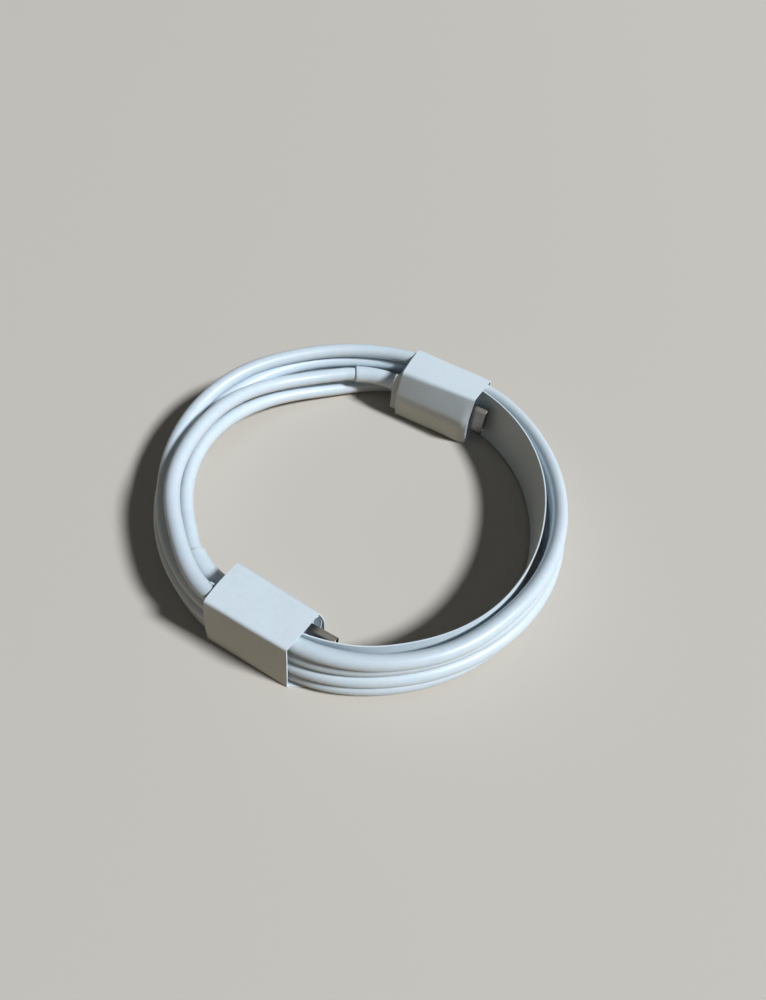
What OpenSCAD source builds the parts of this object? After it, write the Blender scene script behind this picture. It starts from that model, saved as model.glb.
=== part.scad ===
// USB-C charging cable, wound into a flat coil and held by two folded paper sleeves.
// +Z is up. The origin is the middle of the coil, on the surface that it lies on.
// The sleeves lie on the Y axis, and both plugs point along +X.

/* [Cable] */
// Diameter of the cable's jacket
cable_d = 3.5; // [3.3:0.1:3.7]
// Outer diameter of the coil where it runs free
coil_od = 97; // [96:1:104]
// Clear space between two round strands, one above the other
strand_gap = 0.05; // [0.04:0.01:0.2]
// How far every second strand lies inside the ones above and below it
strand_recess = 1.2; // [0.8:0.1:1.3]

/* [Paper] */
// Thickness of the paper
paper_t = 0.3; // [0.2:0.05:0.35]
// Gap between the paper and what it holds
paper_fit = 0.25; // [0.2:0.01:0.3]
// Length of a sleeve along the cable
sleeve_len = 20; // [18:0.5:21]
// Outer radius of a sleeve's folds
fold_r = 1.2; // [0.8:0.1:1.6]
// How far the tucked flap stands out of the far sleeve
flap_out = 1.8; // [1:0.1:2]
// How far the near sleeve's lower panel reaches past its mouth
lip_out = 3.5; // [2:0.5:4]
// Height of the paper strip that stands inside the coil
strip_h = 13.8; // [12:0.1:14]
// How far the strip shows past the near sleeve
strip_tail = 1.7; // [1:0.1:1.8]
// How far the strip stands off the strands at the middle of its bend
strip_slack = 0.8; // [0.5:0.1:1]
// Extra gap that opens beside the strip towards the near sleeve
strip_bow = 0.7; // [0:0.1:1]

/* [Plug body] */
// Width of the plug body, which stands upright
plug_w = 12; // [11.6:0.1:12.3]
// Thickness of the plug body
plug_t = 6; // [5.8:0.1:6.2]
// Length of the plug body
plug_len = 18.5; // [18:0.1:19]
// Radius of the rounded rims of the plug body
rim_r = 0.7; // [0.4:0.1:1]
// Gap between the strip and the plug bodies
plug_fit = 0.45; // [0.4:0.01:0.55]
// How far the far plug's tip lies past the sleeve's middle
far_tip = 14.1; // [13.6:0.1:15.2]
// How far the near plug's tip lies past the sleeve's middle
near_tip = 15.6; // [15:0.1:15.8]

/* [Strain relief] */
// Diameter of the strain relief
relief_d = 4.4; // [4.2:0.1:4.6]
// Length of the strain relief
relief_len = 13; // [12:0.5:14]
// Angle through which the strain relief bends with the coil
relief_bend = 34; // [30:1:36]
// Diameter of the strain relief's foot, against the plug body
foot_d = 5.4; // [5:0.1:5.6]
// Length of the strain relief's foot
foot_len = 3; // [2:0.5:4]

/* [USB-C tip] */
// Width of the metal shell
shell_w = 8.25; // [8.2:0.01:8.3]
// Thickness of the metal shell
shell_t = 2.4; // [2.36:0.01:2.44]
// Wall of the metal shell
shell_wall = 0.25; // [0.2:0.01:0.28]
// How far the shell stands out of the plug body
shell_out = 6.65; // [6.5:0.05:6.8]
// How far the shell reaches into the plug body
shell_in = 5; // [4.5:0.1:5.5]
// Thickness of the insert at each end of the slot
slot_side = 0.425; // [0.4:0.005:0.45]
// Thickness of the slot for the socket's tongue
slot_t = 0.8; // [0.76:0.01:0.84]
// Distance between contact centres
contact_pitch = 0.5; // [0.48:0.01:0.52]
// Width of a contact
contact_w = 0.24; // [0.2:0.01:0.28]
// Thickness of a contact
contact_t = 0.15; // [0.12:0.01:0.17]

/* [Inside the plug] */
// Width of the circuit card
card_w = 8; // [7.6:0.1:8]
// Thickness of the circuit card
card_t = 0.8; // [0.7:0.05:0.8]
// Length of the circuit card
card_len = 8; // [7:0.1:8.2]
// Wall of the shield cans
can_wall = 0.2; // [0.15:0.01:0.22]
// Outer thickness of the two shield cans together
can_t = 4.4; // [4.2:0.1:4.5]
// Diameter of the power and ground wires
power_wire_d = 1; // [0.8:0.05:1.05]
// Diameter of the data and sense wires
data_wire_d = 0.6; // [0.5:0.05:0.65]

/* [Hidden] */

FAR = 1;
NEAR = -1;
eps = 0.01;

// The coil: four passes round the ring, with rings every 15 degrees.
ring_step = 15;
tube_sides = 6;
level_pitch = cable_d + strand_gap;
level_count = 4;
low_z = paper_t + paper_fit + cable_d / 2;
top_z = low_z + (level_count - 1) * level_pitch;
ring_r = coil_od / 2 - cable_d / 2;
// In the sleeves the strands run straight, at this distance from the X axis.
lane_y = ring_r * cos(ring_step);

// Plugs: the strip lies against the strands, and the plug body against the strip.
strip_y = lane_y - strand_recess / 2 - cable_d / 2 - paper_fit - paper_t / 2;
plug_y = strip_y - paper_t / 2 - plug_fit - plug_t / 2;
plug_z = (low_z + top_z) / 2;
relief_r = relief_len / (relief_bend * PI / 180);

function side_sign(side) = side == FAR ? 1 : -1;
function front_x(side) = (side == FAR ? far_tip : near_tip) - shell_out;
function back_x(side) = front_x(side) - plug_len;
// Middle of the strain relief's end face, where the coil starts or ends
function relief_end(side) = [
    back_x(side) - relief_r * sin(relief_bend),
    side_sign(side) * (plug_y - relief_r * (1 - cos(relief_bend))),
    plug_z
];
// Direction in which the cable leaves the strain relief
function relief_way(side) = [-cos(relief_bend), -side_sign(side) * sin(relief_bend), 0];
function relief_end_r(side) = norm([relief_end(side)[0], relief_end(side)[1]]);

// Strands step down one level a turn on the left, between these angles.
step_from = 150;
step_to = 200;
// The first pass climbs on the inside and moves out over the others, half way at first.
climb_from = 135;
climb_to = 190;
spread_from = 183;
spread_to = 222;
spread_share = 0.55;
join_from = 230;
join_to = 256;
// The top pass lies inside its lane by a share of the recess. It is back in the lane where the
// strip stands off the strands, and again before it steps down.
top_share = 1.2;
open_from = 283;
open_to = 302;
close_from = 316;
close_to = 342;
leave_from = 500;
leave_to = 525;
// It swings out where it steps down, and the lowest pass swings out past the near sleeve.
swing = 1.8;
swing_at = 545;
swing_span = 33;
low_share = 0.9;
low_at = 1380;
low_span = 60;
// The last pass moves in under the far plug, then lifts and meets the near plug.
tuck_from = 103;
tuck_to = 138;
lift_from = 125;
lift_to = 200;
rise_from = 190;
rise_to = 228;
coil_start = 135;
last_turn = 360 * level_count;
coil_end = last_turn + 225;
// Radius of the passes that run inside the others
inner_clear = 0.5;
inner_r = ring_r - cable_d - strand_recess - inner_clear;

function ease(a, b, x) = let (t = max(0, min(1, (x - a) / (b - a)))) t * t * (3 - 2 * t);
function recess(a) = strand_recess * (0.45 + 0.55 * pow(cos(a), 2));
function level(a, turn = 1) = turn == level_count ? 0
    : ease(360 * turn + step_from, 360 * turn + step_to, a) + level(a, turn + 1);
function lane_r(a) = abs(sin(a)) < cos(ring_step) - eps ? ring_r : min(ring_r, lane_y / abs(sin(a)));
function bump(a, at, span) = ease(at - span, at, a) * (1 - ease(at, at + span, a));
function top_inside(a) = top_share * (1 - ease(open_from, open_to, a) * (1 - ease(close_from, close_to, a)))
    * (1 - ease(leave_from, leave_to, a));
function low_inside(a) = (1 - cos(180 * level(a))) / 2 * (1 - low_share * bump(a, low_at, low_span));
function stack_r(a) = lane_r(a) - recess(a) * (top_inside(a) + low_inside(a))
    + swing * bump(a, swing_at, swing_span);
function coil_r(a) = let (
        spread = spread_share * ease(spread_from, spread_to, a)
            + (1 - spread_share) * ease(join_from, join_to, a),
        tuck = ease(last_turn + tuck_from, last_turn + tuck_to, a),
        rise = ease(last_turn + rise_from, last_turn + rise_to, a),
        first = inner_r + (stack_r(a) - inner_r) * spread,
        last = inner_r + (relief_end_r(NEAR) - inner_r) * rise
    ) first + (last - first) * tuck;
function coil_z(a) = let (
        climb = ease(climb_from, climb_to, a),
        lift = ease(last_turn + lift_from, last_turn + lift_to, a),
        stack = top_z - level(a) * level_pitch
    ) plug_z + (stack - plug_z) * climb * (1 - lift);
function coil_point(a) = [coil_r(a) * cos(a), coil_r(a) * sin(a), coil_z(a)];

coil_path = concat(
    [relief_end(FAR), relief_end(FAR) + cable_d * relief_way(FAR)],
    [for (a = [coil_start:ring_step:coil_end]) coil_point(a)],
    [relief_end(NEAR) + cable_d * relief_way(NEAR), relief_end(NEAR)]
);

// Tubes swept along points: every ring has a corner on each side, level with its middle.
function unit(v) = v / norm(v);
function heading(path, i) = i == 0 ? unit(path[1] - path[0])
    : i == len(path) - 1 ? unit(path[i] - path[i - 1])
    : unit(unit(path[i] - path[i - 1]) + unit(path[i + 1] - path[i]));
function ring_points(path, i, d, sides) = let (
        t = heading(path, i),
        n = unit(cross(t, [0, 0, 1])),
        b = cross(n, t)
    ) [for (k = [0:sides - 1]) path[i] + d / 2 * (n * cos(360 * k / sides) + b * sin(360 * k / sides))];

// Least gap between one pass of the coil and another, measured on points along the rings' edges
edge_cuts = 4;
function edge_points(i) = let (p = ring_points(coil_path, i, cable_d, tube_sides))
    [for (k = [0:tube_sides - 1], c = [0:edge_cuts - 1])
        p[k] + (p[(k + 1) % tube_sides] - p[k]) * c / edge_cuts];
turn_rings = 360 / ring_step;
coil_rings = len(coil_path);
coil_edges = [for (i = [0:coil_rings - 1]) edge_points(i)];
function ring_gap(i, j) = min([for (p = coil_edges[i], q = coil_edges[j]) norm(p - q)]);
near_rings = [for (i = [0:coil_rings - 1], j = [i + turn_rings - 2:coil_rings - 1])
    if (norm(coil_path[i] - coil_path[j]) < 3 * cable_d) [i, j]];
self_gap = min([for (pair = near_rings) ring_gap(pair[0], pair[1])]);
coil_length = [for (i = 1, s = 0; i <= coil_rings;
    s = s + (i < coil_rings ? norm(coil_path[i] - coil_path[i - 1]) : 0), i = i + 1) s][coil_rings - 1];

// Sleeves
sleeve_h = 2 * (paper_t + paper_fit) + (level_count - 1) * level_pitch + cable_d;
sleeve_out_y = lane_y + cable_d / 2 + paper_fit + paper_t;
sleeve_in_y = plug_y - plug_t / 2 - paper_fit - 2 * paper_t;
sleeve_w = sleeve_out_y - sleeve_in_y;
flap_inset = 0.6;
lip_w = 7.2;
lip_tip_inset = 1;

// Strip: its bend starts at the corners, which clear the strands' recess there.
corner_recess = 0.6 * strand_recess;
strip_r = (ring_r - corner_recess - cable_d / 2) * cos(ring_step / 2) - paper_fit - paper_t / 2;
strip_corner = asin(strip_y / strip_r);
strip_steps = 36;
strip_far_end = 8;

// Cans, card and wires
shell_gap = 0.05;
body_gap = 0.03;
can_in_w = card_w + 0.35;
can_w = can_in_w + 2 * can_wall;
can_front = -(shell_in - 1);
card_front = -shell_in - shell_gap;
card_back = card_front - card_len;
can_back = card_back - 1;
ring_front = can_back - shell_gap;
ring_back = -plug_len + 1.2;
ring_d = cable_d + 0.6;
pocket_d = ring_d + 0.1;
bore_d = cable_d + 0.1;
capacitor_len = 1;
capacitor_w = 0.5;
wire_sides = 8;
wire_space = 0.2;
wire_start = can_back - 1;
wire_turn = can_back + can_wall + 0.1;
wire_pad = card_back + 1.2;
wire_end = wire_pad + 1.4;
wire_hole_d = cable_d - 0.2;
solder_t = 0.02;
power_step = (power_wire_d + wire_space) / 2;
power_pad = 2.2;
data_step = data_wire_d + wire_space;
data_pad = 1.8;

// Tongue slot, contacts, latch plate and ground springs
trim_fit = 0.04;
slot_back = 0.4;
slot_w = shell_w - 2 * (shell_wall + slot_side);
tongue_end = shell_out - 0.45;
contact_end = tongue_end - 0.6;
contact_tail = card_front - 1.45;
contact_lift = 0.02;
contact_y = slot_t / 2 + contact_lift;
bump_len = 1;
bump_t = 0.12;
groove_t = contact_t + contact_lift + trim_fit;
groove_w = contact_w + 2 * trim_fit;
UPPER_ROW = [0, 3, 4, 5, 6, 8, 11];
LOWER_ROW = [0, 3, 7, 8, 11];
row_middle = 5.5;
latch_depth = 1.9;
latch_back = slot_back - latch_depth;
latch_end = tongue_end - 0.8;
latch_z = slot_w / 2 + trim_fit;
latch_t = 0.2;
latch_w = 0.66;
hook_len = 0.8;
hook_out = 0.2;
insulator_w = shell_w - 2 * shell_wall - 2 * shell_gap;
insulator_t = shell_t - 2 * shell_wall - 2 * shell_gap;
spring_t = 0.1;
spring_w = slot_w - 1.7;
spring_back = slot_back + 1.6;
spring_end = tongue_end - 0.4;
spring_slit = 0.4;
spring_pocket = spring_t + 0.05;
spring_y = insulator_t / 2 - spring_pocket + contact_lift;

// Strain relief: the cable is straight in the plug and bends behind it.
relief_sides = 24;
relief_steps = 5;
relief_rings = [for (i = [0:relief_steps]) foot_len + (relief_len - foot_len) * i / relief_steps];
// A ring of radius r round the cable, s behind the plug body
function cable_ring(s, r) = let (a = relief_bend * max(s, 0) / relief_len)
    [for (k = [0:relief_sides - 1]) let (b = 360 * k / relief_sides, out = relief_r + r * cos(b))
        [-plug_len - min(s, 0) - out * sin(a), out * cos(a) - relief_r, r * sin(b)]];

// A solid through rings of points, all of one count. Where it is hollow, the last ring joins the first.
module loft(rings, hollow = false) {
    count = len(rings);
    sides = len(rings[0]);
    walls = [for (i = [0:count - (hollow ? 1 : 2)], k = [0:sides - 1]) let (
            a = i * sides + k,
            b = i * sides + (k + 1) % sides,
            c = (a + sides) % (count * sides),
            d = (b + sides) % (count * sides)
        ) each [[a, b, c], [b, d, c]]];
    end = (count - 1) * sides;
    caps = [for (k = [1:sides - 2]) each [[0, k + 1, k], [end, end + k, end + k + 1]]];
    polyhedron(points = [for (ring = rings) each ring], faces = hollow ? walls : concat(walls, caps));
}

module tube(path, d, sides) {
    loft([for (i = [0:len(path) - 1]) ring_points(path, i, d, sides)]);
}

module pill(w, t) {
    square([w - t, t], center = true);
    for (s = [-1, 1]) translate([s * (w - t) / 2, 0]) circle(d = t, $fn = 48);
}

// A pill section, w along Z and t along Y, from x0 to x1
module pill_bar(w, t, x0, x1) {
    translate([x0, 0, 0]) rotate([90, 0, 90]) linear_extrude(x1 - x0) rotate(90) pill(w, t);
}

// A block from x0 to x1, y0 to y1 and centred on Z with width w
module slab(x0, x1, y0, y1, w) {
    translate([x0, y0, -w / 2]) cube([x1 - x0, y1 - y0, w]);
}

// A rod along X, from x0 to x1
module rod(d, x0, x1) {
    translate([x0, 0, 0]) rotate([0, 90, 0]) cylinder(d = d, h = x1 - x0, $fn = 64);
}

// Puts a plug's pieces, drawn with the body's front face at the origin, in their place
module in_plug(side) {
    translate([front_x(side), side_sign(side) * plug_y, plug_z]) children();
}

module cable_coil() {
    color("#f2f2f0") tube(coil_path, cable_d, tube_sides);
}

function strip_bend(a) = strip_r - strip_slack * pow(cos(a), 2)
    - (a < 0 ? strip_bow * pow(sin(2 * a), 6) : 0);
strip_path = concat(
    [[-sleeve_len / 2 - strip_tail, -strip_y]],
    [for (i = [0:strip_steps]) let (a = strip_corner * (2 * i / strip_steps - 1))
        strip_bend(a) * [cos(a), sin(a)]],
    [[-strip_far_end, strip_y]]
);
function strip_side(i, s) = let (
        p = strip_path,
        t = heading([for (q = p) [q[0], q[1], 0]], i)
    ) p[i] + s * paper_t / 2 * [t[1], -t[0]];

module inner_strip() {
    last = len(strip_path) - 1;
    color("#ecebe7") translate([0, 0, paper_t + paper_fit]) linear_extrude(strip_h)
        polygon(concat(
            [for (i = [0:last]) strip_side(i, 1)],
            [for (i = [last:-1:0]) strip_side(i, -1)]
        ));
}

module folded_section(w, h, r) {
    for (x = [r, w - r], y = [r, h - r]) translate([x, y]) circle(r = r, $fn = 48);
    translate([r, 0]) square([w - 2 * r, h]);
    translate([0, r]) square([w, h - 2 * r]);
}

// A folded paper tube along X. Its inner wall has two layers, where the paper overlaps.
module sleeve(flap) {
    rotate([90, 0, 90]) linear_extrude(sleeve_len, center = true) difference() {
        translate([sleeve_in_y, 0]) folded_section(sleeve_w, sleeve_h, fold_r);
        translate([sleeve_in_y + paper_t, paper_t])
            folded_section(sleeve_w - 2 * paper_t, sleeve_h - 2 * paper_t, fold_r - paper_t);
    }
    translate([-sleeve_len / 2 - flap, sleeve_in_y + paper_t - eps, fold_r + flap_inset])
        cube([sleeve_len + flap, paper_t + eps, sleeve_h - 2 * (fold_r + flap_inset)]);
}

module far_sleeve() {
    color("#f4f3f1") sleeve(flap_out);
}

module near_sleeve() {
    lip_y = sleeve_out_y - fold_r;
    color("#f4f3f1") mirror([0, 1, 0]) {
        sleeve(0);
        translate([sleeve_len / 2, 0, 0]) linear_extrude(paper_t)
            polygon([[-eps, lip_y], [-eps, lip_y - lip_w], [lip_out, lip_y - lip_tip_inset]]);
    }
}

// Half of the plug body's hull: a rod with rounded rims
module rim_rod() {
    rotate([0, 90, 0]) rotate_extrude($fn = 32) {
        polygon(concat(
            [[0, 0]],
            [for (a = [0:22.5:90]) [plug_t / 2 - rim_r + rim_r * sin(a), rim_r - rim_r * cos(a)]],
            [for (a = [0:22.5:90]) [plug_t / 2 - rim_r + rim_r * cos(a), plug_len - rim_r + rim_r * sin(a)]],
            [[0, plug_len]]
        ));
    }
}

module housing(side) {
    color("#f5f5f3") in_plug(side) difference() {
        hull() for (s = [-1, 1])
            translate([-plug_len, 0, s * (plug_w - plug_t) / 2]) rim_rod();
        pill_bar(shell_w + 2 * shell_gap, shell_t + 2 * shell_gap, can_front - eps, eps);
        slab(can_back - shell_gap, can_front + shell_gap,
            -can_t / 2 - shell_gap, can_t / 2 + shell_gap, can_w + 2 * shell_gap);
        rod(pocket_d, ring_back - 0.2, can_back);
        rod(bore_d, -plug_len - eps, can_back);
    }
}

module strain_relief(side) {
    outside = concat([cable_ring(0, foot_d / 2)], [for (s = relief_rings) cable_ring(s, relief_d / 2)]);
    bore = [for (i = [relief_steps:-1:0]) cable_ring(relief_rings[i], bore_d / 2)];
    color("#f5f5f3") in_plug(side) mirror([0, side == FAR ? 0 : 1, 0])
        loft(concat(outside, bore, [cable_ring(0, bore_d / 2)]), hollow = true);
}

module cable_end(side) {
    start = -plug_len - wire_start;
    color("#f2f2f0") in_plug(side) mirror([0, side == FAR ? 0 : 1, 0])
        loft([for (s = concat([start, 0], relief_rings)) cable_ring(s, cable_d / 2)]);
}

module shell(side) {
    color("#9a9ca0") in_plug(side) difference() {
        pill_bar(shell_w, shell_t, -shell_in, shell_out);
        pill_bar(shell_w - 2 * shell_wall, shell_t - 2 * shell_wall, -shell_in - eps, shell_out + eps);
    }
}

module grooves(row, s) {
    mirror([0, s > 0 ? 0 : 1, 0]) for (i = row) translate([0, 0, (i - row_middle) * contact_pitch])
        slab(-shell_in - 1, shell_out, slot_t / 2 - eps, slot_t / 2 + groove_t, groove_w);
}

module insulator(side) {
    color("#26272a") in_plug(side) difference() {
        pill_bar(insulator_w, insulator_t, -shell_in, tongue_end);
        slab(slot_back, shell_out, -slot_t / 2, slot_t / 2, slot_w);
        slab(latch_back - trim_fit, slot_back + trim_fit,
            -latch_t / 2 - trim_fit, latch_t / 2 + trim_fit, shell_w);
        for (s = [-1, 1]) translate([0, 0, s * (slot_w / 2 - eps + shell_w / 4)])
            slab(latch_back - trim_fit, shell_out,
                -latch_w / 2 - trim_fit, latch_w / 2 + trim_fit, shell_w / 2);
        grooves(UPPER_ROW, 1);
        grooves(LOWER_ROW, -1);
        for (s = [-1, 1]) translate([0, s * insulator_t / 2, 0])
            slab(spring_back - trim_fit, spring_end + trim_fit,
                -spring_pocket, spring_pocket, spring_w + 2 * trim_fit);
    }
}

// One row of contacts: s is 1 for the upper row and -1 for the lower
module contacts(side, row, s) {
    bump_end = contact_end - 0.4;
    color("#d9b04a") in_plug(side) mirror([0, s > 0 ? 0 : 1, 0])
        for (i = row) translate([0, 0, (i - row_middle) * contact_pitch]) {
            slab(contact_tail, contact_end, contact_y, contact_y + contact_t, contact_w);
            slab(bump_end - bump_len, bump_end, contact_y - bump_t, contact_y, contact_w);
        }
}

module latch_plate(side) {
    hook_end = latch_end - 0.2;
    color("#b9bbbf") in_plug(side) {
        slab(latch_back, slot_back, -latch_t / 2, latch_t / 2, 2 * (latch_z + latch_t));
        for (s = [-1, 1]) {
            translate([0, 0, s * (latch_z + latch_t / 2)])
                slab(latch_back, latch_end, -latch_w / 2, latch_w / 2, latch_t);
            translate([0, 0, s * (latch_z - hook_out / 2)])
                slab(hook_end - hook_len, hook_end, -latch_w / 2, latch_w / 2, hook_out);
        }
    }
}

module ground_spring(side, s) {
    color("#c2c4c7") in_plug(side) mirror([0, s > 0 ? 0 : 1, 0]) difference() {
        slab(spring_back, spring_end, spring_y, spring_y + spring_t, spring_w);
        for (i = [-1:1]) translate([0, 0, i * spring_w / 4])
            slab(spring_back + 1, shell_out, 0, shell_t, spring_slit);
    }
}

module circuit_card(side) {
    color("#2f6b4a") in_plug(side) slab(card_back, card_front, -card_t / 2, card_t / 2, card_w);
}

module capacitor(side) {
    color("#a98a62") in_plug(side) translate([0, 0, -card_w / 2 + capacitor_len])
        slab(card_front - card_len / 2, card_front - card_len / 2 + capacitor_len,
            card_t / 2, card_t / 2 + capacitor_w, capacitor_w);
}

// One half of the inner shield: s is 1 for the upper can and -1 for the lower
module shield_can(side, s) {
    color("#a7a9ad") in_plug(side) mirror([0, s > 0 ? 0 : 1, 0]) difference() {
        slab(can_back, can_front, body_gap / 2, can_t / 2, can_w);
        slab(can_back + can_wall, can_front - can_wall, 0, can_t / 2 - can_wall, can_in_w);
        pill_bar(shell_w + 2 * shell_gap, shell_t + 2 * shell_gap, can_front - 1, can_front + 1);
        rod(wire_hole_d, can_back - 1, can_back + 1);
    }
}

module crimp_ring(side) {
    color("#b4a27a") in_plug(side) difference() {
        rod(ring_d, ring_back, ring_front);
        rod(cable_d + 2 * body_gap, ring_back - 1, ring_front + 1);
    }
}

// A wire from the cable's end to its pad: s is the card's face, and the last two are places on Z.
module wire(side, d, s, start_z, pad_z) {
    wire_y = s * (card_t / 2 + d / 2 + solder_t);
    in_plug(side) tube([
        [wire_start, wire_y, start_z], [wire_turn, wire_y, start_z],
        [wire_pad, wire_y, pad_z], [wire_end, wire_y, pad_z]
    ], d, wire_sides);
}

module power_wire(side) {
    color("#c23a2e") wire(side, power_wire_d, 1, -power_step, -power_pad);
}

module ground_wire(side) {
    color("#2a2a2a") wire(side, power_wire_d, 1, power_step, power_pad);
}

module data_plus_wire(side) {
    color("#3d8b4e") wire(side, data_wire_d, -1, -data_step, -data_pad);
}

module data_minus_wire(side) {
    color("#e8e6e0") wire(side, data_wire_d, -1, 0, 0);
}

module sense_wire(side) {
    color("#3a62a8") wire(side, data_wire_d, -1, data_step, data_pad);
}

cable_coil();
inner_strip();
far_sleeve();
near_sleeve();

housing(FAR);  // far_housing
strain_relief(FAR);  // far_strain_relief
shell(FAR);  // far_shell
insulator(FAR);  // far_insulator
contacts(FAR, UPPER_ROW, 1);  // far_contacts_upper
contacts(FAR, LOWER_ROW, -1);  // far_contacts_lower
latch_plate(FAR);  // far_latch_plate
ground_spring(FAR, 1);  // far_ground_spring_upper
ground_spring(FAR, -1);  // far_ground_spring_lower
circuit_card(FAR);  // far_circuit_card
capacitor(FAR);  // far_capacitor
shield_can(FAR, 1);  // far_shield_can_upper
shield_can(FAR, -1);  // far_shield_can_lower
crimp_ring(FAR);  // far_crimp_ring
cable_end(FAR);  // far_cable_end
power_wire(FAR);  // far_power_wire
ground_wire(FAR);  // far_ground_wire
data_plus_wire(FAR);  // far_data_plus_wire
data_minus_wire(FAR);  // far_data_minus_wire
sense_wire(FAR);  // far_sense_wire

housing(NEAR);  // near_housing
strain_relief(NEAR);  // near_strain_relief
shell(NEAR);  // near_shell
insulator(NEAR);  // near_insulator
contacts(NEAR, UPPER_ROW, 1);  // near_contacts_upper
contacts(NEAR, LOWER_ROW, -1);  // near_contacts_lower
latch_plate(NEAR);  // near_latch_plate
ground_spring(NEAR, 1);  // near_ground_spring_upper
ground_spring(NEAR, -1);  // near_ground_spring_lower
circuit_card(NEAR);  // near_circuit_card
capacitor(NEAR);  // near_capacitor
shield_can(NEAR, 1);  // near_shield_can_upper
shield_can(NEAR, -1);  // near_shield_can_lower
crimp_ring(NEAR);  // near_crimp_ring
cable_end(NEAR);  // near_cable_end
power_wire(NEAR);  // near_power_wire
ground_wire(NEAR);  // near_ground_wire
data_plus_wire(NEAR);  // near_data_plus_wire
data_minus_wire(NEAR);  // near_data_minus_wire
sense_wire(NEAR);  // near_sense_wire

echo(coil_self_gap_mm = self_gap, coil_length_mm = coil_length);
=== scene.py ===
import math

import bmesh
import bpy
from mathutils import Matrix, Vector, noise


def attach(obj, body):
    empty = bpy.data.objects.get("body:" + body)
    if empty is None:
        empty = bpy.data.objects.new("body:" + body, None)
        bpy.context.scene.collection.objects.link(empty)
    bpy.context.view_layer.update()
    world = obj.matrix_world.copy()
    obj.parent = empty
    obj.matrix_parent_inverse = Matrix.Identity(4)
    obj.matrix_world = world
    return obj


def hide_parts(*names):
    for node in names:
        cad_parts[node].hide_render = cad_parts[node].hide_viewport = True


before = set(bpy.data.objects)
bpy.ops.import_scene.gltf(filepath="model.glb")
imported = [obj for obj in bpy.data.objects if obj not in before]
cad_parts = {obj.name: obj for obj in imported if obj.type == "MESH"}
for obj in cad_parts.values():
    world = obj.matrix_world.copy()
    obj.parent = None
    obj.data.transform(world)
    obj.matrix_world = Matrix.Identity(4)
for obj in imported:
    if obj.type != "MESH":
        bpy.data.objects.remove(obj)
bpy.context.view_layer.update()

MM = 0.001

# ---------------------------------------------------------------- sizes, as in the CAD source
# Millimetres and degrees.
CABLE_D = 3.5
COIL_OD = 97
LEVEL_PITCH = 3.55
LEVELS = 4
RECESS = 1.2
SLEEVE_LEN = 20
PAPER_T = 0.3
PAPER_FIT = 0.25
LOW_Z = PAPER_T + PAPER_FIT + CABLE_D / 2
TOP_Z = LOW_Z + (LEVELS - 1) * LEVEL_PITCH
RING_R = COIL_OD / 2 - CABLE_D / 2
RING_STEP = 15
LANE_Y = RING_R * math.cos(math.radians(RING_STEP))
INNER_R = RING_R - CABLE_D - RECESS - 0.5
STRIP_H, STRIP_TAIL, STRIP_FAR_END = 13.8, 1.7, 8
STRIP_Y = LANE_Y - RECESS / 2 - CABLE_D / 2 - PAPER_FIT - PAPER_T / 2
PLUG_W, PLUG_T, PLUG_LEN, RIM_R, PLUG_FIT = 12, 6, 18.5, 0.7, 0.45
PLUG_Y = STRIP_Y - PAPER_T / 2 - PLUG_FIT - PLUG_T / 2
PLUG_Z = (LOW_Z + TOP_Z) / 2
RELIEF_D, RELIEF_LEN, RELIEF_BEND = 4.4, 13, 34
FOOT_D, FOOT_LEN = 5.4, 3
RELIEF_R = RELIEF_LEN / math.radians(RELIEF_BEND)
SHELL_W, SHELL_T, SHELL_WALL, SHELL_OUT, SHELL_IN = 8.25, 2.4, 0.25, 6.65, 5
TIP = {"far": 14.1, "near": 15.6}
SIGN = {"far": 1, "near": -1}


def sin(a):
    return math.sin(math.radians(a))


def cos(a):
    return math.cos(math.radians(a))


def ease(a, b, x):
    """Rises smoothly from 0 where x is a to 1 where it is b."""
    t = max(0, min(1, (x - a) / (b - a)))
    return t * t * (3 - 2 * t)


def bump(a, at, span):
    return ease(at - span, at, a) * (1 - ease(at, at + span, a))


def back_x(side):
    return TIP[side] - SHELL_OUT - PLUG_LEN


def relief_point(side, a):
    """The middle of the strain relief where it has bent through the angle a."""
    x = back_x(side) - RELIEF_R * sin(a)
    return Vector((x, SIGN[side] * (PLUG_Y - RELIEF_R * (1 - cos(a))), PLUG_Z))


def relief_way(side):
    return Vector((-cos(RELIEF_BEND), -SIGN[side] * sin(RELIEF_BEND), 0))


# ---------------------------------------------------------------- the cable's route
# Angles round the coil between which the route changes, as in the CAD source.
STEP_DOWN = (150, 200)  # in each turn, to the level below
RAISE = (135, 190)  # from the far plug's height to the top level
SPREAD, JOIN, SPREAD_SHARE = (183, 222), (230, 256), 0.55  # from the inside of the coil to its ring
OPEN, CLOSE, LEAVE, TOP_SHARE = (283, 302), (316, 342), (500, 525), 1.2  # the top level's place inside
LOW_AT, LOW_SPAN, LOW_SHARE = 1380, 60, 0.9  # where the lowest levels line up
SWING_AT, SWING_SPAN, SWING = 545, 33, 1.8  # where the top strand swings out at the left
SLEEVED_SHARE = 0.45  # how much of the recess is left inside the sleeves
COIL_START, ANGLE_STEP = 141, 2
LAST_TURN = 360 * LEVELS
TUCK, LIFT, RISE, COIL_END = (103, 138), (125, 200), (190, 228), 220  # past the last turn
POINT_STEP, SMOOTHING = 1.2, 24


def level(a):
    return sum(ease(360 * k + STEP_DOWN[0], 360 * k + STEP_DOWN[1], a) for k in range(1, LEVELS))


def lane_r(a):
    s = abs(sin(a))
    return RING_R if s < cos(RING_STEP) - 0.01 else min(RING_R, LANE_Y / s)


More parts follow.
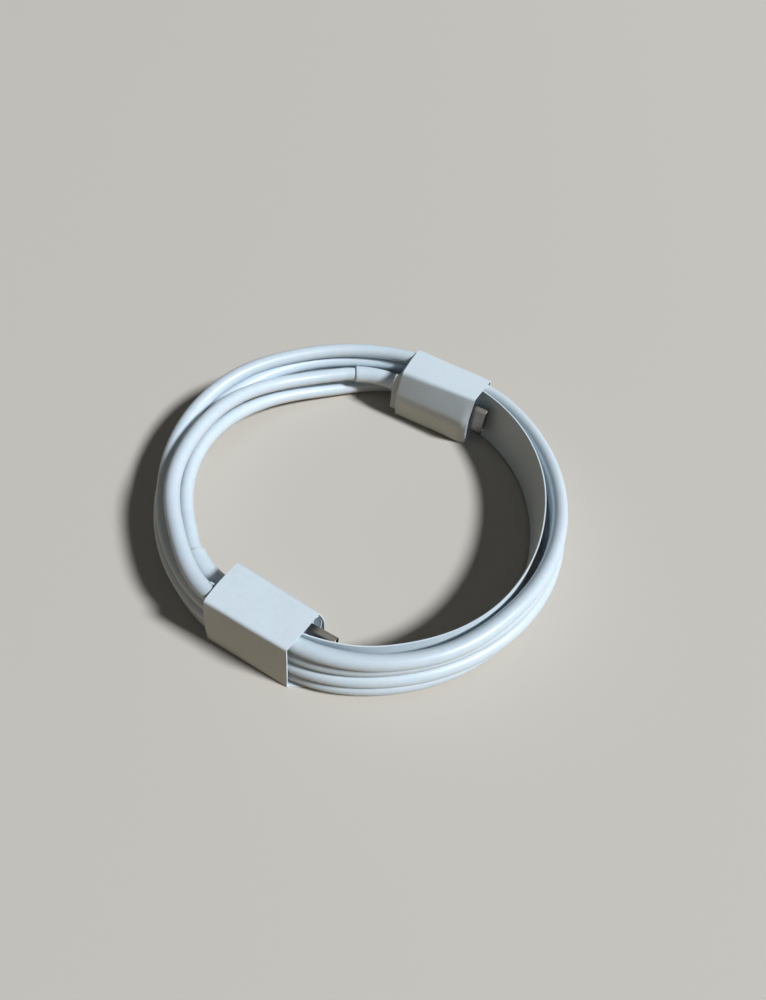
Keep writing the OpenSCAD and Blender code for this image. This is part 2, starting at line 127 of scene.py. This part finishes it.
def stack_r(a):
    recess = RECESS * (SLEEVED_SHARE + (1 - SLEEVED_SHARE) * cos(a) ** 2)
    top = TOP_SHARE * (1 - ease(*OPEN, a) * (1 - ease(*CLOSE, a))) * (1 - ease(*LEAVE, a))
    low = (1 - cos(180 * level(a))) / 2 * (1 - LOW_SHARE * bump(a, LOW_AT, LOW_SPAN))
    return lane_r(a) - recess * (top + low) + SWING * bump(a, SWING_AT, SWING_SPAN)


def coil_point(a):
    past = a - LAST_TURN
    spread = SPREAD_SHARE * ease(*SPREAD, a) + (1 - SPREAD_SHARE) * ease(*JOIN, a)
    first = INNER_R + (stack_r(a) - INNER_R) * spread
    last = INNER_R + (math.hypot(FINISH.x, FINISH.y) - INNER_R) * ease(*RISE, past)
    r = first + (last - first) * ease(*TUCK, past)
    stack = TOP_Z - level(a) * LEVEL_PITCH
    z = PLUG_Z + (stack - PLUG_Z) * ease(*RAISE, a) * (1 - ease(*LIFT, past))
    return Vector((r * cos(a), r * sin(a), z))


def smooth_line(points, passes, keep=2):
    """Averages each point with its neighbours, but leaves the first and last few."""
    for _ in range(passes):
        middle = [
            (points[i - 1] + 2 * points[i] + points[i + 1]) / 4
            for i in range(keep, len(points) - keep)
        ]
        points = points[:keep] + middle + points[-keep:]
    return points


def even_line(points, step):
    """Points along a line, step apart."""
    run = [0]
    for a, b in zip(points, points[1:]):
        run.append(run[-1] + (b - a).length)
    count = round(run[-1] / step)
    found, k = [], 0
    for i in range(count + 1):
        s = run[-1] * i / count
        while k < len(run) - 2 and run[k + 1] < s:
            k += 1
        t = (s - run[k]) / (run[k + 1] - run[k])
        found.append(points[k].lerp(points[k + 1], t))
    return found


def line_length(points):
    return sum((b - a).length for a, b in zip(points, points[1:]))


START, FINISH = relief_point("far", RELIEF_BEND), relief_point("near", RELIEF_BEND)
route = [START, START + CABLE_D * relief_way("far")]
route += [coil_point(a) for a in range(COIL_START, LAST_TURN + COIL_END, ANGLE_STEP)]
route += [FINISH + CABLE_D * relief_way("near"), FINISH]
route = smooth_line(even_line(route, POINT_STEP), SMOOTHING, keep=3)

# ---------------------------------------------------------------- camera
# Fitted to the photo: focal length in pixels of a picture 1000 pixels high, angles, and the
# distance and shift of the coil's middle in millimetres.
F_PX, PICTURE_H, SENSOR_H = 733.14, 1000, 36
ELEVATION, AZIMUTH, ROLL = 50.20, 22, 9.308
DISTANCE, SHIFT_X, SHIFT_Y = 179.07, -5.097, -3.192
CLIP_NEAR, CLIP_FAR = 0.005, 20

right = Vector((1, 0, 0))
up = Vector((0, sin(ELEVATION), cos(ELEVATION)))
back = Vector((0, -cos(ELEVATION), sin(ELEVATION)))
turn = Matrix.Rotation(math.radians(AZIMUTH), 3, "Z")
axis_x = turn @ (right * cos(ROLL) + up * sin(ROLL))
axis_y = turn @ (up * cos(ROLL) - right * sin(ROLL))
axis_z = turn @ back
place = (-SHIFT_X * axis_x - SHIFT_Y * axis_y + DISTANCE * axis_z) * MM
camera_data = bpy.data.cameras.new("camera")
camera_data.sensor_fit = "VERTICAL"
camera_data.sensor_height = SENSOR_H
camera_data.lens = F_PX / PICTURE_H * SENSOR_H
camera_data.clip_start = CLIP_NEAR
camera_data.clip_end = CLIP_FAR
camera = bpy.data.objects.new("camera", camera_data)
camera.matrix_world = Matrix((
    (axis_x.x, axis_y.x, axis_z.x, place.x),
    (axis_x.y, axis_y.y, axis_z.y, place.y),
    (axis_x.z, axis_y.z, axis_z.z, place.z),
    (0, 0, 0, 1),
))
bpy.context.scene.collection.objects.link(camera)
bpy.context.scene.camera = camera

# ---------------------------------------------------------------- materials
NOISE_LOW, NOISE_HIGH = 0.3, 0.7  # the part of a noise's range that its values mostly fill
WIDE = 6  # how many times wider the colour's noise is than the grain


def add(tree, kind, **sockets):
    """Adds a node and sets its sockets, named with _ for a space."""
    node = tree.nodes.new(kind)
    for name, value in sockets.items():
        node.inputs[name.replace("_", " ")].default_value = value
    return node


def material(name, low, high, rough=(0.4, 0.5), metallic=0.0, grain=1.0, bump=0.2, depth=0.02,
             stretch=(1, 1, 1), **shader):
    """A procedural finish: colour from low to high over a wide noise, and roughness and a bump
    depth mm deep over a fine noise with features of grain mm."""
    mat = bpy.data.materials.new(name)
    mat.use_nodes = True
    tree = mat.node_tree
    principled = tree.nodes["Principled BSDF"]
    principled.inputs["Metallic"].default_value = metallic
    for key, value in shader.items():
        principled.inputs[key.replace("_", " ")].default_value = value
    coords = tree.nodes.new("ShaderNodeTexCoord")
    mapping = add(tree, "ShaderNodeMapping", Scale=stretch)
    tree.links.new(coords.outputs["Object"], mapping.inputs["Vector"])
    wide = add(tree, "ShaderNodeTexNoise", Scale=1 / (grain * WIDE * MM), Detail=3.0, Roughness=0.5)
    fine = add(tree, "ShaderNodeTexNoise", Scale=1 / (grain * MM), Detail=4.0, Roughness=0.55)
    for tex in (wide, fine):
        tree.links.new(mapping.outputs["Vector"], tex.inputs["Vector"])
    ramp = tree.nodes.new("ShaderNodeValToRGB")
    for stop, position, color in zip(ramp.color_ramp.elements, (NOISE_LOW, NOISE_HIGH), (low, high)):
        stop.position = position
        stop.color = (*color, 1)
    tree.links.new(wide.outputs["Fac"], ramp.inputs["Fac"])
    tree.links.new(ramp.outputs["Color"], principled.inputs["Base Color"])
    spread = add(tree, "ShaderNodeMapRange", From_Min=NOISE_LOW, From_Max=NOISE_HIGH,
                 To_Min=rough[0], To_Max=rough[1])
    tree.links.new(fine.outputs["Fac"], spread.inputs["Value"])
    tree.links.new(spread.outputs["Result"], principled.inputs["Roughness"])
    relief = add(tree, "ShaderNodeBump", Strength=bump, Distance=depth * MM)
    tree.links.new(fine.outputs["Fac"], relief.inputs["Height"])
    tree.links.new(relief.outputs["Normal"], principled.inputs["Normal"])
    return mat


SOFT_PLASTIC = {"Subsurface_Weight": 0.15, "Subsurface_Scale": 0.001}
BRUSHED = (0.2, 1, 1)
JACKET = material(
    "jacket", (0.595, 0.685, 0.75), (0.635, 0.72, 0.78), rough=(0.34, 0.44),
    grain=0.35, bump=0.25, depth=0.02, Specular_IOR_Level=0.45, **SOFT_PLASTIC)
OVERMOULD = material(
    "overmould", (0.61, 0.70, 0.765), (0.65, 0.735, 0.79), rough=(0.28, 0.36),
    grain=0.25, bump=0.2, depth=0.012, **SOFT_PLASTIC)
PAPER = material(
    "paper", (0.67, 0.755, 0.80), (0.70, 0.78, 0.82), rough=(0.75, 0.9),
    grain=0.12, bump=0.3, depth=0.012, stretch=(1, 1, 0.6), Specular_IOR_Level=0.25)
# The shell's colour is darkened far below nickel's own: painted shade, standing in for the dark
# surroundings that the shell reflects.
DARKENED_NICKEL = material(
    "darkened_nickel", (0.2, 0.2, 0.195), (0.26, 0.26, 0.255), rough=(0.26, 0.34), metallic=1.0,
    grain=0.12, bump=0.08, depth=0.003, stretch=BRUSHED)
TONGUE = material(
    "tongue_plastic", (0.02, 0.02, 0.022), (0.035, 0.035, 0.037), rough=(0.4, 0.55),
    grain=0.12, bump=0.3, depth=0.01)
GOLD = material(
    "contact_gold", (0.75, 0.52, 0.2), (0.87, 0.64, 0.28), rough=(0.2, 0.32), metallic=1.0,
    grain=0.08, bump=0.1, depth=0.004)
STEEL = material(
    "spring_steel", (0.5, 0.51, 0.52), (0.62, 0.63, 0.64), rough=(0.24, 0.38), metallic=1.0,
    grain=0.12, bump=0.15, depth=0.006, stretch=BRUSHED)
BOARD = material(
    "circuit_board", (0.02, 0.12, 0.05), (0.03, 0.17, 0.075), rough=(0.3, 0.42),
    grain=0.2, bump=0.35, depth=0.02)
CERAMIC = material(
    "capacitor_ceramic", (0.3, 0.2, 0.11), (0.38, 0.26, 0.15), rough=(0.5, 0.65),
    grain=0.06, bump=0.3, depth=0.006)
BRASS = material(
    "crimp_brass", (0.55, 0.42, 0.22), (0.66, 0.52, 0.3), rough=(0.28, 0.4), metallic=1.0,
    grain=0.15, bump=0.2, depth=0.008)
WIRES = {
    f"{wire}_wire": material(f"wire_{shade}", low, high, grain=0.1, bump=0.2, depth=0.006)
    for wire, shade, low, high in (
        ("power", "red", (0.42, 0.025, 0.02), (0.5, 0.04, 0.03)),
        ("ground", "black", (0.012, 0.012, 0.012), (0.024, 0.024, 0.024)),
        ("data_plus", "green", (0.02, 0.2, 0.04), (0.03, 0.26, 0.06)),
        ("data_minus", "white", (0.68, 0.68, 0.65), (0.76, 0.76, 0.73)),
        ("sense", "blue", (0.02, 0.06, 0.32), (0.03, 0.09, 0.42)),
    )
}
FINISHES = {
    "cable_coil": JACKET, "cable_end": JACKET, "inner_strip": PAPER, "sleeve": PAPER,
    "housing": OVERMOULD, "strain_relief": OVERMOULD, "shell": DARKENED_NICKEL, "insulator": TONGUE,
    "contacts_upper": GOLD, "contacts_lower": GOLD, "latch_plate": STEEL,
    "ground_spring_upper": STEEL, "ground_spring_lower": STEEL,
    "shield_can_upper": STEEL, "shield_can_lower": STEEL,
    "circuit_card": BOARD, "capacitor": CERAMIC, "crimp_ring": BRASS, **WIRES,
}
for name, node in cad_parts.items():
    kind = name.removeprefix("far_").removeprefix("near_")
    node.data.materials.clear()
    node.data.materials.append(FINISHES[kind])


# ---------------------------------------------------------------- mesh helpers
def mesh_piece(name, points, faces, finish, body, replaces, smooth_angle):
    """Makes a mesh object from points in millimetres, shaded smooth up to smooth_angle."""
    data = bpy.data.meshes.new(name)
    data.from_pydata([Vector(p) * MM for p in points], [], faces)
    bm = bmesh.new()
    bm.from_mesh(data)
    bmesh.ops.recalc_face_normals(bm, faces=bm.faces)
    for face in bm.faces:
        face.smooth = True
    for edge in bm.edges:
        if len(edge.link_faces) == 2 and edge.calc_face_angle() > math.radians(smooth_angle):
            edge.smooth = False
    bm.to_mesh(data)
    bm.free()
    data.materials.append(finish)
    obj = bpy.data.objects.new(name, data)
    bpy.context.scene.collection.objects.link(obj)
    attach(obj, body)
    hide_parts(replaces)


def joined_rings(rings):
    """Faces between closed rings of the same size, where the last joins the first."""
    size, count = len(rings[0]), len(rings)
    faces = []
    for i in range(count):
        a, b = i * size, (i + 1) % count * size
        faces += [(a + k, a + (k + 1) % size, b + (k + 1) % size, b + k) for k in range(size)]
    return [p for ring in rings for p in ring], faces


# ---------------------------------------------------------------- the cable
curve = bpy.data.curves.new("cable", "CURVE")
curve.dimensions = "3D"
spline = curve.splines.new("POLY")
spline.points.add(len(route) - 1)
for point, place in zip(spline.points, route):
    point.co = (*(place * MM), 1)
curve.bevel_depth = CABLE_D / 2 * MM
curve.bevel_resolution = 7
curve.use_fill_caps = True
curve.materials.append(JACKET)
cable = bpy.data.objects.new("cable", curve)
bpy.context.scene.collection.objects.link(cable)
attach(cable, "cable")
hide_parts("cable_coil")

# ---------------------------------------------------------------- plugs
RIM_ANGLES = range(0, 91, 15)
# Openings in the plug body, with places along X from its front: the shell's hole with a bevel,
# the room for the card and cans, the crimp ring's seat and the hole for the cable.
HOLE_W, HOLE_T, HOLE_BEVEL = SHELL_W + 0.1, SHELL_T + 0.1, 0.15
ROOM_W, ROOM_T, ROOM_CORNER, ROOM_FRONT, ROOM_BACK = 8.9, 4.5, 0.1, -SHELL_IN + 1, -14.2
SEAT_D, SEAT_BACK, CABLE_HOLE_D = 4.2, -17.5, 3.6
# The strain relief's bore, the round of its edge, and the places along it of its rings.
BORE_R, RELIEF_EDGE = 1.8, 0.35
FOOT_RIM = 0.1
FOOT_RINGS = (0.15, 0.6, 1.1, 1.6, 2.1, 2.6, FOOT_LEN)
TUBE_RINGS = (4, 5, 6, 7, 8, 9, 10, 11, 12, RELIEF_LEN - RELIEF_EDGE)
BORE_RINGS = (RELIEF_LEN, RELIEF_LEN - 3, 6, 3, 0)
SHELL_EDGE = 0.11


def pill_ring(side, w, t, x, corner=None, steps=12):
    """A closed ring at x from the plug body's front: w along Z and t along Y, with round corners."""
    corner = t / 2 if corner is None else corner
    ring = []
    for k, (sy, sz) in enumerate(((1, 1), (-1, 1), (-1, -1), (1, -1))):
        for i in range(steps + 1):
            a = 90 * k + 90 * i / steps
            ring.append((
                TIP[side] - SHELL_OUT + x,
                SIGN[side] * PLUG_Y + sy * (t / 2 - corner) + corner * cos(a),
                PLUG_Z + sz * (w / 2 - corner) + corner * sin(a),
            ))
    return ring


def plug_body(side):
    rims = [(RIM_R - RIM_R * sin(a), -PLUG_LEN + RIM_R - RIM_R * cos(a)) for a in RIM_ANGLES]
    rims += [(RIM_R - RIM_R * cos(a), -RIM_R + RIM_R * sin(a)) for a in RIM_ANGLES]
    shape = [(PLUG_W - 2 * inset, PLUG_T - 2 * inset, x) for inset, x in rims]
    shape += [
        (HOLE_W + 2 * HOLE_BEVEL, HOLE_T + 2 * HOLE_BEVEL, 0),
        (HOLE_W, HOLE_T, -HOLE_BEVEL),
        (HOLE_W, HOLE_T, ROOM_FRONT),
        (ROOM_W, ROOM_T, ROOM_FRONT, ROOM_CORNER),
        (ROOM_W, ROOM_T, ROOM_BACK, ROOM_CORNER),
        (SEAT_D, SEAT_D, ROOM_BACK),
        (SEAT_D, SEAT_D, SEAT_BACK),
        (CABLE_HOLE_D, CABLE_HOLE_D, SEAT_BACK),
        (CABLE_HOLE_D, CABLE_HOLE_D, -PLUG_LEN),
    ]
    points, faces = joined_rings([pill_ring(side, *sizes) for sizes in shape])
    mesh_piece(f"{side}_plug_body", points, faces, OVERMOULD, "cable",
               f"{side}_housing", 30)


def relief_ring(side, s, r, steps=40):
    """A ring of radius r around the bend, s mm along it from the plug body."""
    a = s / RELIEF_LEN * RELIEF_BEND
    middle = relief_point(side, a)
    across = Vector((-sin(a), SIGN[side] * cos(a), 0))
    upward = Vector((0, 0, 1))
    return [
        middle + r * (across * cos(360 * k / steps) + upward * sin(360 * k / steps))
        for k in range(steps)
    ]


def strain_relief(side):
    outer, foot = RELIEF_D / 2, FOOT_D / 2
    shape = [(0, foot - FOOT_RIM)]
    shape += [(s, outer + (foot - outer) * (1 - ease(0, FOOT_LEN, s))) for s in FOOT_RINGS]
    shape += [(s, outer) for s in TUBE_RINGS]
    shape += [
        (RELIEF_LEN - RELIEF_EDGE + RELIEF_EDGE * sin(a), outer - RELIEF_EDGE + RELIEF_EDGE * cos(a))
        for a in (22.5, 45, 67.5, 90)
    ]
    shape += [(s, BORE_R) for s in BORE_RINGS]
    points, faces = joined_rings([relief_ring(side, s, r) for s, r in shape])
    mesh_piece(f"{side}_relief", points, faces, OVERMOULD, "cable",
               f"{side}_strain_relief", 50)


def metal_shell(side):
    shape = (
        (-SHELL_IN, 0), (0, 0), (0.2, 0), (3.2, 0),
        (SHELL_OUT - SHELL_EDGE, 0), (SHELL_OUT - 0.07, 0.01), (SHELL_OUT - 0.03, 0.035),
        (SHELL_OUT, SHELL_EDGE), (SHELL_OUT, SHELL_WALL - 0.06),
        (SHELL_OUT - 0.06, SHELL_WALL), (3.2, SHELL_WALL), (-SHELL_IN, SHELL_WALL),
    )
    rings = [pill_ring(side, SHELL_W - 2 * inset, SHELL_T - 2 * inset, x) for x, inset in shape]
    points, faces = joined_rings(rings)
    mesh_piece(f"{side}_metal_shell", points, faces, DARKENED_NICKEL, "cable",
               f"{side}_shell", 50)


for side in SIGN:
    plug_body(side)
    strain_relief(side)
    metal_shell(side)

# ---------------------------------------------------------------- the paper strip
# How far, at which angle round the coil and over what angle to each side the strip stands off the
# strands, and the same for where it leans on them near the near sleeve, both from the photo.
OFF, OFF_AT, OFF_SPAN = 2.05, 13, 60
LEAN, LEAN_AT, LEAN_SPAN = 0.42, -62, 17
SEAT_SHARE = 0.6  # of the recess, at the strip's bend
BEND_STEPS, STRIP_STEP, STRIP_SMOOTHING, STRIP_ROWS = 72, 1, 6, 6
STRIP_WAVE = 0.12


def strip_line():
    seat = SEAT_SHARE * RECESS
    bend_r = (RING_R - seat - CABLE_D / 2) * cos(RING_STEP / 2) - PAPER_FIT - PAPER_T / 2
    corner = math.degrees(math.asin(STRIP_Y / bend_r))
    points = [Vector((-SLEEVE_LEN / 2 - STRIP_TAIL, -STRIP_Y, 0)), Vector((0, -STRIP_Y, 0))]
    for i in range(BEND_STEPS + 1):
        a = corner * (2 * i / BEND_STEPS - 1)
        aside = max(-OFF_SPAN, min(OFF_SPAN, a - OFF_AT))
        r = bend_r - OFF * cos(90 / OFF_SPAN * aside) ** 2 + LEAN * bump(a, LEAN_AT, LEAN_SPAN)
        points.append(r * Vector((cos(a), sin(a), 0)))
    points.append(Vector((-STRIP_FAR_END, STRIP_Y, 0)))
    return smooth_line(even_line(points, STRIP_STEP), STRIP_SMOOTHING)


def paper_strip():
    line = strip_line()
    low = PAPER_T + PAPER_FIT
    rings = []
    for i, p in enumerate(line):
        way = (line[min(i + 1, len(line) - 1)] - line[max(i - 1, 0)]).normalized()
        out = Vector((way.y, -way.x, 0))
        ring = []
        for s in (1, -1):
            for k in range(STRIP_ROWS + 1):
                t = k / STRIP_ROWS if s > 0 else 1 - k / STRIP_ROWS
                wave = STRIP_WAVE * noise.noise((i * 0.07, t * 1.3, 3.1))
                ring.append(p + out * (wave + s * PAPER_T / 2) + Vector((0, 0, low + STRIP_H * t)))
        rings.append(ring)
    size = len(rings[0])
    points, faces = joined_rings(rings)
    ends = [tuple(range(size)), tuple(range((len(rings) - 1) * size, len(rings) * size))]
    mesh_piece("paper_strip", points, faces[:-size] + ends, PAPER, "cable",
               "inner_strip", 40)


paper_strip()

# ---------------------------------------------------------------- the paper sleeves
# Corners of the sheet's middle in a section, from the free edge of its inner layer, round the
# bottom, outside and top, to the free edge of its outer layer: distance from the X axis, height
# and place along X at the left mouth, the same at the right mouth, and how far from the corner
# the fold begins, or how far at the left and at the right mouth.
NEAR_SHEET = (
    ((37.4, 13.9, -10.0), (37.9, 14.2, 10.3), 0),
    ((35.75, 12.6, -10.0), (36.0, 12.8, 10.3), 1.2),
    ((35.4, 10.0, -10.0), (35.4, 10.6, 10.3), 1.2),
    ((35.5, 0.15, -10.0), (35.5, 0.15, 10.0), 0.6),
    ((39.06, 0.15, -10.0), (39.06, 0.15, 10.0), 0.3),
    ((44.66, 0.15, -10.0), (44.66, 0.15, 13.9), 0.25),
    ((46.1, 0.15, -10.0), (46.1, 0.15, 12.1), 0.2),
    ((47.1, 0.15, -9.9), (47.3, 0.15, 9.9), 0.5),
    ((47.5, 6.0, -9.8), (47.3, 5.0, 9.9), 2.5),
    ((47.38, 11.4, -9.75), (47.3, 11.0, 9.8), 2.0),
    ((46.8, 15.05, -9.7), (47.25, 15.1, 9.65), 0.6),
    ((42.4, 14.98, -10.0), (42.5, 15.1, 10.2), 2.0),
    ((35.35, 14.8, -9.75), (37.2, 15.0, 10.5), (1.9, 0.8)),
    ((34.95, 8.6, -9.9), (34.55, 8.6, 10.6), 3.5),
    ((35.1, 0.6, -10.0), (34.2, 0.9, 10.5), 0),
)
FAR_SHEET = (
    ((35.9, 13.3, -11.5), (36.9, 13.9, 10.3), 0),
    ((35.7, 11.2, -11.75), (36.05, 12.4, 10.4), 1.2),
    ((35.65, 7.6, -11.9), (35.35, 10.2, 10.5), 1.2),
    ((35.6, 2.1, -11.7), (35.5, 3.4, 10.9), 0.2),
    ((35.5, 1.7, -10.1), (36.1, 1.4, 10.9), 0.2),
    ((35.4, 0.15, -10.0), (36.1, 0.15, 10.9), 0.4),
    ((47.2, 0.15, -10.2), (47.1, 0.15, 10.6), 0.8),
    ((47.3, 7.0, -10.3), (47.3, 7.0, 10.6), 3.0),
    ((47.25, 15.05, -10.4), (47.25, 15.05, 10.8), 2.9),
    ((42.0, 15.08, -10.3), (42.0, 15.08, 10.7), 2.0),
    ((35.75, 14.75, -9.75), (36.9, 15.0, 10.5), (0.9, 0.6)),
    ((33.95, 7.2, -9.95), (34.1, 7.6, 10.7), 1.6),
    ((34.95, 0.6, -9.9), (35.4, 0.6, 10.6), 0),
)
# Where the far sleeve's paper curls at its mouths: the corners, how far, and between which places
# along X. The tucked flap curls towards the coil's middle, and the inner wall away from it.
FAR_CURLS = ((range(4), -0.75, (-10.4, -12.2)), (range(11, 13), 0.45, (9.0, 11.2)))
FOLD_STEPS, RUN_STEPS, STATIONS = 8, 7, 30
CUT_SHARE = 0.48  # of the shorter side beside a corner, at most, goes to its fold
WAVE, FINE_WAVE = 0.08, 0.015  # how far the paper is from flat


def soft_line(corners):
    """An open line through (corner, cut) pairs; each fold is a curve that begins cut mm from its corner."""
    points, last = [corners[0][0]], corners[0][0]
    for i in range(1, len(corners)):
        here, cut = corners[i]
        folded = i < len(corners) - 1
        start = here
        if folded:
            before, after = corners[i - 1][0] - here, corners[i + 1][0] - here
            cut = min(cut, CUT_SHARE * before.length, CUT_SHARE * after.length)
            start, end = here + before.normalized() * cut, here + after.normalized() * cut
        points += [last.lerp(start, k / RUN_STEPS) for k in range(1, RUN_STEPS + 1)]
        if folded:
            for k in range(1, FOLD_STEPS + 1):
                t = k / FOLD_STEPS
                points.append(start.lerp(here, t).lerp(here.lerp(end, t), t))
            last = end
    return points


def sheet_corners(sheet, t, curls):
    """The sheet's (corner, cut) pairs in the section t of the way from the left mouth to the right."""
    corners = []
    for k, (left, right_end, cut) in enumerate(sheet):
        if isinstance(cut, tuple):
            cut = cut[0] + (cut[1] - cut[0]) * t
        y, z, x = (a + (b - a) * t for a, b in zip(left, right_end))
        for curled, depth, reach in curls:
            if k in curled:
                y += depth * ease(*reach, x)
        corners.append((Vector((x, y, z)), cut))
    return corners


def paper_sleeve(side, sheet, seed, curls=()):
    rings = []
    for i in range(STATIONS + 1):
        line = soft_line(sheet_corners(sheet, (1 - cos(180 * i / STATIONS)) / 2, curls))
        outside, inside = [], []
        for k, p in enumerate(line):
            way = line[min(k + 1, len(line) - 1)] - line[max(k - 1, 0)]
            normal = Vector((0, way.z, -way.y)).normalized()
            wave = noise.noise(Vector((p.x * 0.13, p.y * 0.16, p.z * 0.16 + seed)))
            fine_wave = noise.noise(Vector((p.x * 0.5, p.y * 0.5, p.z * 0.5 + seed)))
            p = p + normal * (WAVE * wave + FINE_WAVE * fine_wave)
            for found, s in ((outside, 1), (inside, -1)):
                q = p + normal * s * PAPER_T / 2
                found.append(Vector((q.x, SIGN[side] * q.y, max(q.z, 0.0))))
        rings.append(outside + inside[::-1])
    size = len(rings[0])
    points, faces = joined_rings(rings)
    faces = faces[:-size]
    for first in (0, (len(rings) - 1) * size):
        faces += [
            (first + k, first + k + 1, first + size - 2 - k, first + size - 1 - k)
            for k in range(size // 2 - 1)
        ]
    mesh_piece(f"{side}_paper_sleeve", points, faces, PAPER, f"{side}_sleeve",
               f"{side}_sleeve", 45)


paper_sleeve("near", NEAR_SHEET, 2.3)
paper_sleeve("far", FAR_SHEET, 7.7, FAR_CURLS)

line_length(route) * MM

# ---------------------------------------------------------------- floor and light
# Metres, degrees and watts.
FLOOR_HALF = 3
FLOOR_SEEN, FLOOR_PASSED_ON = (0.60, 0.56, 0.50, 1), (0.46, 0.34, 0.22, 1)
KEY_AZIMUTH, KEY_ELEVATION, KEY_DISTANCE, KEY_SIZE, KEY_POWER = 7, 46, 12, 2.1, 1730
KEY_COLOR = (0.95, 1, 1.05)
FILL_COLOR, FILL_STRENGTH = (0.86, 0.92, 1, 1), 0.05
BACKDROP_COLOR = (0.76, 0.73, 0.68, 1)


def seen_or_passed_on(tree, seen, passed_on, output):
    """Camera, glossy and transmission rays meet the first shader, all other light the second."""
    path = tree.nodes.new("ShaderNodeLightPath")
    total = path.outputs["Is Camera Ray"]
    for ray in ("Is Glossy Ray", "Is Transmission Ray"):
        both = tree.nodes.new("ShaderNodeMath")
        both.operation = "ADD"
        both.use_clamp = True
        tree.links.new(total, both.inputs[0])
        tree.links.new(path.outputs[ray], both.inputs[1])
        total = both.outputs[0]
    mix = tree.nodes.new("ShaderNodeMixShader")
    tree.links.new(total, mix.inputs[0])
    tree.links.new(passed_on.outputs[0], mix.inputs[1])
    tree.links.new(seen.outputs[0], mix.inputs[2])
    tree.links.new(mix.outputs[0], output.inputs["Surface"])


def stage_floor():
    corners = [(x * FLOOR_HALF, y * FLOOR_HALF, 0) for x, y in ((-1, -1), (1, -1), (1, 1), (-1, 1))]
    data = bpy.data.meshes.new("floor")
    data.from_pydata(corners, [], [(0, 1, 2, 3)])
    mat = bpy.data.materials.new("floor")
    mat.use_nodes = True
    tree = mat.node_tree
    seen = tree.nodes["Principled BSDF"]
    seen.inputs["Base Color"].default_value = FLOOR_SEEN
    seen.inputs["Roughness"].default_value = 0.8
    warm = add(tree, "ShaderNodeBsdfDiffuse", Color=FLOOR_PASSED_ON)
    seen_or_passed_on(tree, seen, warm, tree.nodes["Material Output"])
    data.materials.append(mat)
    obj = bpy.data.objects.new("floor", data)
    bpy.context.scene.collection.objects.link(obj)


def key_light():
    data = bpy.data.lights.new("key", "AREA")
    data.shape = "DISK"
    data.size = KEY_SIZE
    data.energy = KEY_POWER
    data.color = KEY_COLOR
    obj = bpy.data.objects.new("key", data)
    flat = Vector((cos(KEY_AZIMUTH), sin(KEY_AZIMUTH), 0)) * cos(KEY_ELEVATION)
    way = flat + Vector((0, 0, sin(KEY_ELEVATION)))
    obj.location = way * KEY_DISTANCE
    obj.rotation_euler = way.to_track_quat("Z", "Y").to_euler()
    bpy.context.scene.collection.objects.link(obj)


stage_floor()
key_light()
world = bpy.data.worlds.new("world")
world.use_nodes = True
fill = world.node_tree.nodes["Background"]
fill.inputs["Color"].default_value = FILL_COLOR
fill.inputs["Strength"].default_value = FILL_STRENGTH
backdrop = add(world.node_tree, "ShaderNodeBackground", Color=BACKDROP_COLOR, Strength=1.0)
seen_or_passed_on(world.node_tree, backdrop, fill, world.node_tree.nodes["World Output"])
bpy.context.scene.world = world
bpy.context.scene.view_settings.view_transform = "Standard"
